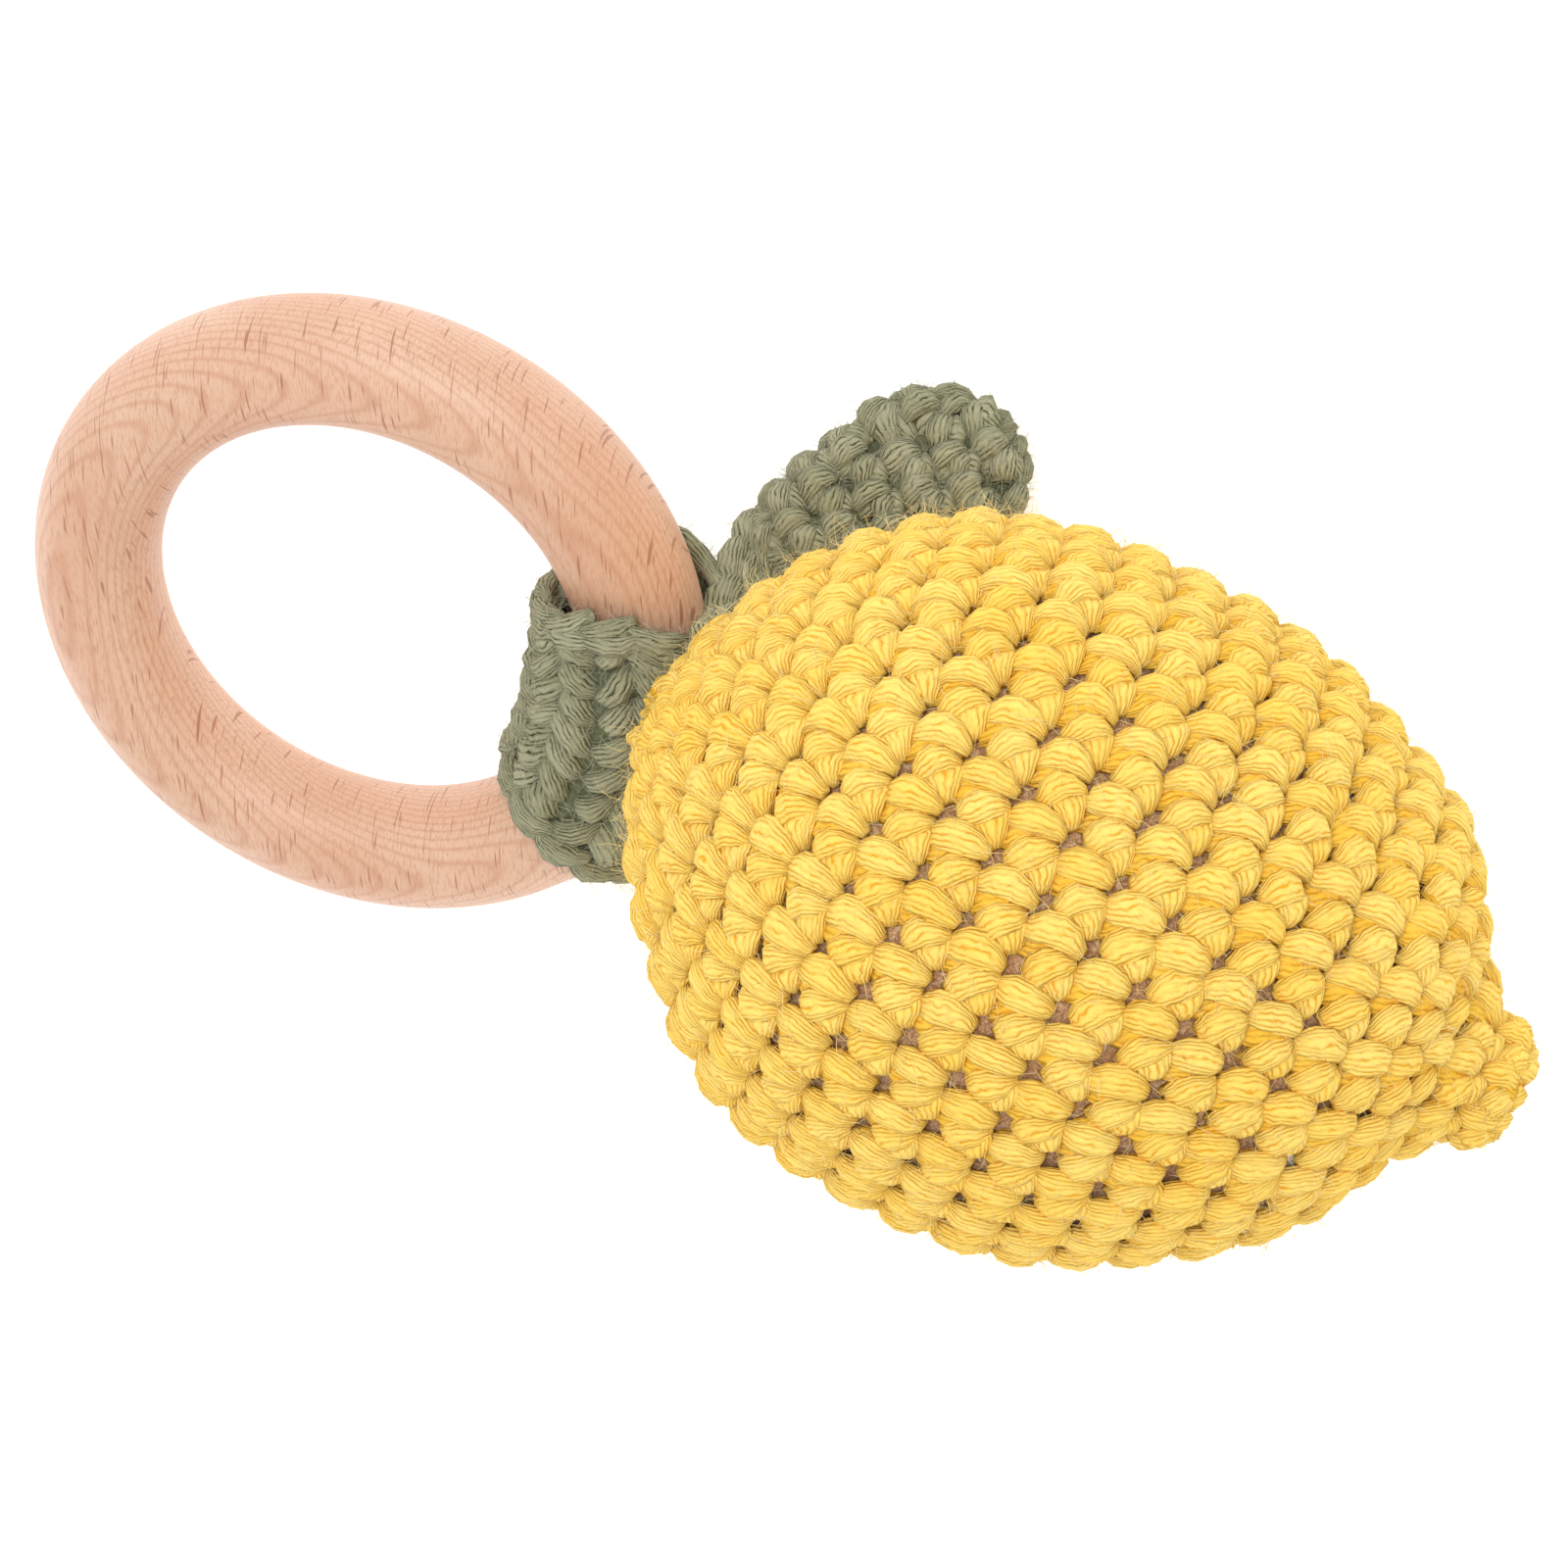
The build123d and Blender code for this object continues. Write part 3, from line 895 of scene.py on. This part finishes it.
band_chart = Chart(21)
rows = round((BAND_TO - BAND_FROM) * RING_R / BAND_ROW)
half = math.pi / BAND_COLUMNS
for row in range(rows):
    turn = BAND_FROM + (BAND_TO - BAND_FROM) * (row + 0.1) / rows
    for k in range(BAND_COLUMNS):
        middle = 2 * math.pi * k / BAND_COLUMNS
        for side in (-1, 1):
            start, out_1 = band_point(turn + LEG_TOP / RING_R, middle + side * half * TOP_SPREAD, BAND_R)
            end, out_2 = band_point(turn + LEG_FOOT / RING_R, middle + side * half * FOOT_SPREAD, BAND_R)
            band_chart.strand(start, end, out_1 + out_2, 3.2 * MM, 2.9 * MM, 1.0 * MM, jitter=0.15)
for rim, lean in ((BAND_TO + 0.05, 1), (BAND_FROM - 0.02, -1)):
    for k in range(RIM_LINKS):
        middle = 2 * math.pi * (k + 0.3) / RIM_LINKS
        for side in (-1, 1):
            start, out_1 = band_point(rim + side * 0.034, middle, RIM_R - side * lean * 0.5 * MM)
            end, out_2 = band_point(rim, middle + 1.35 * math.pi * 2 / RIM_LINKS, RIM_R)
            above, _ = band_point(rim + lean * 0.5, middle, RIM_R)
            out = (out_1 + out_2).normalized() + (above - end).normalized() * 0.4
            band_chart.strand(start, end, out, 2.5 * MM, 2.3 * MM, 0.1 * MM, jitter=0.08)
band_stitches = lay("band_stitches", band_chart, sage_yarn)

# %% [markdown]
# The back of the band's fabric closes the gaps between the stitches. Its sage is darker than the yarn's, as
# painted shade.

# %% Band back
def sleeve(name, outer, inner, start, stop, steps=24, sides=64):
    """A short tube round the ring, closed at both ends."""
    points = []
    for step in range(steps + 1):
        turn = start + (stop - start) * step / steps
        for radius in (outer, inner):
            for s in range(sides):
                points.append(band_point(turn, 2 * math.pi * s / sides, radius)[0])
    faces = []
    for step in range(steps):
        low, high = step * 2 * sides, (step + 1) * 2 * sides
        for s in range(sides):
            n = (s + 1) % sides
            faces.append((low + s, high + s, high + n, low + n))
            faces.append((low + sides + s, low + sides + n, high + sides + n, high + sides + s))
    for s in range(sides):
        n = (s + 1) % sides
        faces.append((s, n, sides + n, sides + s))
        high = steps * 2 * sides
        faces.append((high + s, high + sides + s, high + sides + n, high + n))
    return placed(name, smooth_mesh(name, points, faces))


band_back = sleeve("band_back", BAND_R - 1.6 * MM, 7.3 * MM, BAND_FROM, BAND_TO)
band_back.data.materials.append(sage_shadow)

# %% [markdown]
# The leaf is stuffed too. Its rounds run across it from the stem to the rounded end.

# %% Leaf stitches
LEAF_ROUND = 4.4 * MM
LEAF_STITCH = 5.6 * MM
LEAF_STITCH_SIZE = 0.88
LEAF_DEPTH = 2.0 * MM  # how far the leaf's inside lies below its stitches
LEAF_VOXEL, LEAF_PRESSURE, LEAF_CAP = 1.2 * MM, 60.0, 0.5 * MM
leaf_hinge = Vector(joints["leaf_flop"]["pos_m"])
leaf_points = [vertex.co for vertex in frame["nodes"]["leaf_cover"].data.vertices]
leaf_end = max(leaf_points, key=lambda point: (point - leaf_hinge).length)
leaf_line = (leaf_end - leaf_hinge).normalized()
leaf_back = min((point - leaf_hinge).dot(leaf_line) for point in leaf_points)
leaf_facing = Vector((0, 0.26, 0.97))
leaf_skin = Skin("leaf_cover", leaf_hinge + leaf_line * leaf_back, leaf_end, leaf_facing)
print("leaf from stem to end, mm:", round(leaf_skin.length / MM, 1))


def leaf_form(point):
    """The leaf's stem is plumper than its CAD solid, away from the lemon."""
    along = (point - leaf_skin.start).dot(leaf_line) / leaf_skin.length
    middle = leaf_skin.start + leaf_line * along * leaf_skin.length
    plump = float(np.interp(along, [0.0, 0.2, 0.6, 1.0], [1.1, 1.2, 1.08, 0.95]))
    shift = float(np.interp(along, [0.0, 0.3, 1.0], [1.6, 1.8, 1.0])) * MM
    return middle + (point - middle) * plump - camera_right * shift - camera_up * (1.3 * along * MM)


leaf_chart = Chart(31)
leaf_rounds = int(leaf_skin.total / LEAF_ROUND)
for number in range(leaf_rounds + 1):
    arc = LEAF_ROUND * (number + 0.6)
    if arc < leaf_skin.total:
        stitches = max(4, round(2 * math.pi * leaf_skin.radius(arc) / LEAF_STITCH))
        for k in range(stitches):
            angle = 0.35 * number + k * 2 * math.pi / stitches
            stitch(leaf_chart, leaf_chart, leaf_skin, arc, angle, LEAF_ROUND, stitches, leaf_form,
                   LEAF_STITCH_SIZE)
leaf_stitches = lay("leaf_stitches", leaf_chart, sage_yarn)
leaf_solid = lathe("leaf_form", leaf_skin, LEAF_DEPTH, leaf_form, 48, 40)
# The leaf's inside shows only deep between its stitches, so it wears the darker sage of painted shade.
leaf_inside = stuffed("leaf_inside", leaf_solid, LEAF_VOXEL, LEAF_PRESSURE, LEAF_CAP, sage_shadow)

# %% [markdown]
# The leaf hangs from the crown by a neck of stitches, a strap about twenty millimetres long. The neck
# is laid between two lines, one on the crown and one across the leaf's stem. The sewing stitches
# between the band and the crown are laid from one to the other in the same way.

# %% Neck of the leaf and sewing stitches
leaf_across = leaf_facing.normalized().cross(leaf_line).normalized()
stem = leaf_form(leaf_skin.start) + leaf_line * 3.0 * MM

neck_chart = Chart(41)
NECK_ROWS, NECK_COLUMNS = 5, 5
NECK_WIDTH = 7.5 * MM
NECK_OUT = Vector((-0.75, 0.5, 0.5))
for row in range(NECK_ROWS):
    for k in range(NECK_COLUMNS):
        ends = []
        for share in (row / NECK_ROWS, (row + 1.5) / NECK_ROWS):
            side = (k + 0.35 * (row % 2)) / (NECK_COLUMNS - 1)
            on_crown, _ = lemon_skin.point((8 + 4 * side) * MM, math.radians(-96 - 36 * side))
            on_stem = stem + leaf_across * (side - 0.5) * NECK_WIDTH + leaf_facing * 1.2 * MM
            ends.append(bent(on_crown).lerp(on_stem, share))
        neck_chart.strand(ends[0], ends[1], NECK_OUT, 3.0 * MM, 2.2 * MM, 0.0, jitter=0.1)
leaf_neck = lay("leaf_neck", neck_chart, sage_yarn)
neck_from, _ = lemon_skin.point(9 * MM, math.radians(-105))

SEAM_STITCHES, SEAM_STEP = 7, 2.0 * MM
SEAM_SPAN = 0.12  # half a stitch's reach round the tube, in radians
ON_CROWN_R = BAND_R + 2.6 * MM
seam_pieces = []
for name, around in (("upper_band_seam", 27), ("lower_band_seam", -64)):
    seam_chart = Chart(50 + around)
    seam_turn = math.radians(around)
    for k in range(SEAM_STITCHES):
        slide = (k - SEAM_STITCHES // 2) * SEAM_STEP / RING_R
        near_band, _ = ring_point(slide, seam_turn - SEAM_SPAN, BAND_R - 0.9 * MM)
        near_crown, _ = ring_point(slide + 1.4 * MM / RING_R, seam_turn + SEAM_SPAN, ON_CROWN_R)
        across = math.cos(seam_turn + 1.57) * Vector((1, 0, 0)) + math.sin(seam_turn + 1.57) * RING_AXIS
        seam_chart.strand(near_band, near_crown, across, 1.7 * MM, 1.5 * MM, 0.0)
    seam = lay(name, seam_chart, sage_yarn)
    inside, _ = ring_point(0, seam_turn, BAND_R - 0.5 * MM)
    outside, _ = ring_point(0, seam_turn, ON_CROWN_R)
    seam_pieces.append((seam, inside, outside))

# %% [markdown]
# Cotton sheds fine fibres. A hair system would be lost in an exported model, so each fibre is a real
# hair-thin curl, scattered over the strands by Geometry Nodes with a fixed seed.

# %% Fibre fuzz
FIBRE_STEPS, FIBRE_SIDES = 4, 3
FIBRE_FACES = (FIBRE_STEPS - 1) * FIBRE_SIDES + 2
FIBRE_THICK = 0.016
LEAST_LEAN, MOST_LEAN = (-0.9, -0.9, 0.0), (0.9, 0.9, 2 * math.pi)


def fibre_shape():
    """A thin curl, one unit high, that rises from the yarn and bends over."""
    points, faces = [], []
    for step in range(FIBRE_STEPS):
        t = step / (FIBRE_STEPS - 1)
        angle = 1.9 * t
        centre = Vector((1 - math.cos(angle), 0.25 * math.sin(3.0 * t), math.sin(angle)))
        thin = FIBRE_THICK * (1 - 0.6 * t)
        for k in range(FIBRE_SIDES):
            turn = 2 * math.pi * k / FIBRE_SIDES
            points.append(centre + Vector((math.cos(turn) * thin, math.sin(turn) * thin, 0)))
    for step in range(FIBRE_STEPS - 1):
        low, high = step * FIBRE_SIDES, (step + 1) * FIBRE_SIDES
        for k in range(FIBRE_SIDES):
            n = (k + 1) % FIBRE_SIDES
            faces.append((low + k, low + n, high + n, high + k))
    last = (FIBRE_STEPS - 1) * FIBRE_SIDES
    faces.append(tuple(range(FIBRE_SIDES))[::-1])
    faces.append(tuple(last + k for k in range(FIBRE_SIDES)))
    return bpy.data.objects.new("fibre", smooth_mesh("fibre", points, faces))


def fibre_scatter():
    """Geometry Nodes: fibres on a surface, turned, leant and sized at random."""
    inputs = {"Geometry": "Geometry", "Fibre": "Object", "Density": "Float", "Longest": "Float"}
    inputs.update({"Seed": "Int", "Finish": "Material"})
    tree, given = new_tree("scatter_fibres", inputs)
    add, link = tree.nodes.new, tree.links.new
    places = add("GeometryNodeDistributePointsOnFaces")
    link(given["Geometry"], places.inputs["Mesh"])
    link(given["Density"], places.inputs["Density"])
    link(given["Seed"], places.inputs["Seed"])
    lean = add("FunctionNodeRandomValue")
    lean.data_type = "FLOAT_VECTOR"
    lean.inputs[0].default_value = LEAST_LEAN
    lean.inputs[1].default_value = MOST_LEAN
    turned = add("FunctionNodeRotateRotation")
    turned.rotation_space = "LOCAL"
    link(places.outputs["Rotation"], turned.inputs[0])
    link(lean.outputs[0], turned.inputs[1])
    size = add("FunctionNodeRandomValue")
    size.inputs[2].default_value = 0.25
    size.inputs[3].default_value = 1.0
    scaled = add("ShaderNodeMath")
    scaled.operation = "MULTIPLY"
    link(size.outputs[1], scaled.inputs[0])
    link(given["Longest"], scaled.inputs[1])
    shape = add("GeometryNodeObjectInfo")
    link(given["Fibre"], shape.inputs["Object"])
    copies = add("GeometryNodeInstanceOnPoints")
    link(places.outputs["Points"], copies.inputs["Points"])
    link(shape.outputs["Geometry"], copies.inputs["Instance"])
    link(turned.outputs[0], copies.inputs["Rotation"])
    link(scaled.outputs[0], copies.inputs["Scale"])
    end_tree(tree, copies, given["Finish"])
    return tree


scatter_fibres = fibre_scatter()
fibre = fibre_shape()


def fuzz(name, piece, per_square_mm, longest, finish, seed):
    """Stray fibres over a finished piece, as a piece of their own."""
    source = placed(name + "_source", piece.data)
    modifier = source.modifiers.new("fibres", "NODES")
    modifier.node_group = scatter_fibres
    set_inputs(modifier, Fibre=fibre, Density=per_square_mm / MM ** 2, Longest=longest,
               Seed=seed, Finish=finish)
    made = settle(name, source)
    bpy.data.objects.remove(source)
    print(name, len(made.data.polygons) // FIBRE_FACES, "fibres")
    return made


YELLOW_DENSITY, SAGE_DENSITY = 0.30, 0.9
YELLOW_LONGEST, SAGE_LONGEST = 2.4 * MM, 2.0 * MM
crown_fuzz = fuzz("crown_fuzz", lemon_crown_half, YELLOW_DENSITY, YELLOW_LONGEST, yellow_fuzz, 1)
tip_fuzz = fuzz("tip_fuzz", lemon_tip_half, YELLOW_DENSITY, YELLOW_LONGEST, yellow_fuzz, 2)
band_fuzz = fuzz("band_fuzz", band_stitches, SAGE_DENSITY, SAGE_LONGEST, sage_fuzz, 3)
leaf_fuzz = fuzz("leaf_fuzz", leaf_stitches, SAGE_DENSITY, SAGE_LONGEST, sage_fuzz, 4)

# %% [markdown]
# Every piece rides on the CAD body that it belongs to, and stands for one of that body's plain CAD solids.
# The leaf's neck and the sewing stitches join two bodies, so they ride on neither and stay where they are
# laid.
# The capsule and its beads are shown as the CAD has them, in plastic.

# %% Ride on the frame
for piece, body, node, slot in (
    (lemon_crown_half, "lemon", "lemon_cover", "yellow_yarn"),
    (lemon_tip_half, "lemon", "lemon_cover", "yellow_yarn"),
    (lemon_under, "lemon", "lemon_cover", "yellow_yarn"),
    (crown_loop, "lemon", "crown_closing_yarn", "yellow_yarn"),
    (tip_loop, "lemon", "tip_starting_loop", "yellow_yarn"),
    (lining_skin, "lemon", "lining_bag", "lining_cloth"),
    (crown_filling, "lemon", "crown_wad", "fibre_filling"),
    (tip_filling, "lemon", "tip_wad", "fibre_filling"),
    (beech_ring, "ring", "wooden_ring", "beech"),
    (band_stitches, "band", "ring_band", "sage_yarn"),
    (band_back, "band", "ring_band", "sage_yarn"),
    (leaf_inside, "leaf", "leaf_filling", "sage_yarn"),
    (crown_fuzz, "lemon", "lemon_cover", "yellow_yarn"),
    (tip_fuzz, "lemon", "lemon_cover", "yellow_yarn"),
    (band_fuzz, "band", "ring_band", "sage_yarn"),
    (leaf_fuzz, "leaf", "leaf_cover", "sage_yarn"),
    (leaf_stitches, "leaf", "leaf_cover", "sage_yarn"),
):
    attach(piece, body)
    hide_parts(node)

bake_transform(leaf_neck)
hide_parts("leaf_seam_yarn")
for seam, inside, outside in seam_pieces:
    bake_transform(seam)
    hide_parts("band_seam_yarn")

for half_name in ("capsule_inner_half", "capsule_outer_half"):
    dress(frame["nodes"][half_name].data, capsule_plastic)
for k in range(1, 7):
    dress(frame["nodes"][f"bead_{k}"].data, bead_plastic)

# %% [markdown]
# A white floor and a bright, even sky give the soft studio light of a catalogue. One lamp adds a little
# shape. The floor glows slightly, so that it stays white in the shade of the rattle.

# %% Floor and light
FLOOR_REACH = 3.0
FLOOR_GLOW = 0.55
SKY_STRENGTH = 0.82


def white_floor():
    finish = Finish("white_floor")
    speckle = finish.noise(finish.here(), 40.0, 2.0)
    return finish.done(
        Base_Color=finish.mix(speckle, colour(253, 253, 253), colour(255, 255, 255)),
        Roughness=0.9,
        Emission_Color=(1, 1, 1, 1),
        Emission_Strength=FLOOR_GLOW,
    )


floor_mesh = bpy.data.meshes.new("floor")
corners = [(x * FLOOR_REACH, y * FLOOR_REACH, 0) for x, y in ((-1, -1), (1, -1), (1, 1), (-1, 1))]
floor_mesh.from_pydata(corners, [], [(0, 1, 2, 3)])
floor_mesh.materials.append(white_floor())
floor = placed("floor", floor_mesh)

world = bpy.data.worlds.new("studio")
bpy.context.scene.world = world
world.use_nodes = True
sky = world.node_tree.nodes["Background"]
sky.inputs["Color"].default_value = (1, 1, 1, 1)
sky.inputs["Strength"].default_value = SKY_STRENGTH


lamp = bpy.data.lights.new("key_light", "AREA")
lamp.shape = "DISK"
lamp.size = 0.4
lamp.energy = 4.0
key_light = placed("key_light", lamp)
key_light.location = (-0.15, 0.2, 0.9)
key_light.rotation_mode = "QUATERNION"
key_light.rotation_quaternion = key_light.location.to_track_quat("Z", "Y")
bpy.context.scene.view_settings.view_transform = "Standard"
